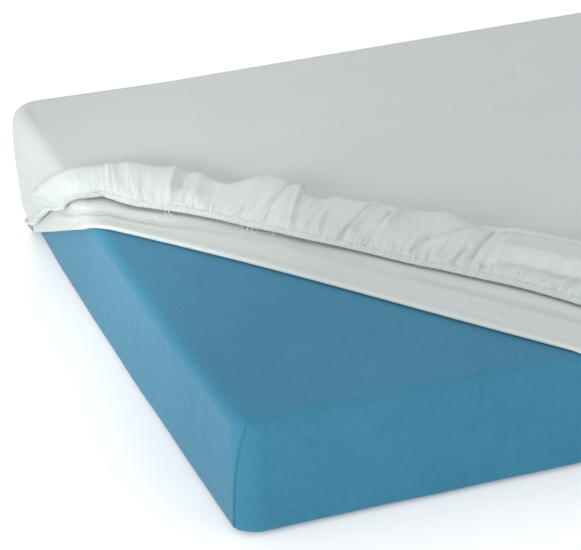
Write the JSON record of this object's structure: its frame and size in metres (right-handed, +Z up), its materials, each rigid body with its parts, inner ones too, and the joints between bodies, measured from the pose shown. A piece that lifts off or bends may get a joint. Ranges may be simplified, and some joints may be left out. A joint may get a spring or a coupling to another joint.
{
  "type": "fitted sheet on a mattress",
  "caption": "White fitted bed sheet on a blue foam mattress, one corner of the sheet drawn up and folded back on itself so that its gathered elastic edge shows.",
  "frame": {"origin": "on the floor, under the middle of the whole object's box", "axes": "+X along the mattress's length, away from the end with the bare corner; +Y across its width, away from the long side with the bare corner; +Z up. The bare corner is at -X, -Y."},
  "size_m": [2.0512, 0.9526, 0.2012],
  "materials": {
    "mattress_cover": "matte knitted cover with a soft nap, mid blue",
    "sheet_cloth": "matte fine white cotton",
    "elastic_edge": "white elastic overlocked in white thread"
  },
  "bodies": {
    "root": {"mattress": "mattress_cover", "sheet": "sheet_cloth", "elastic_edge": "elastic_edge"}
  },
  "joints": []
}
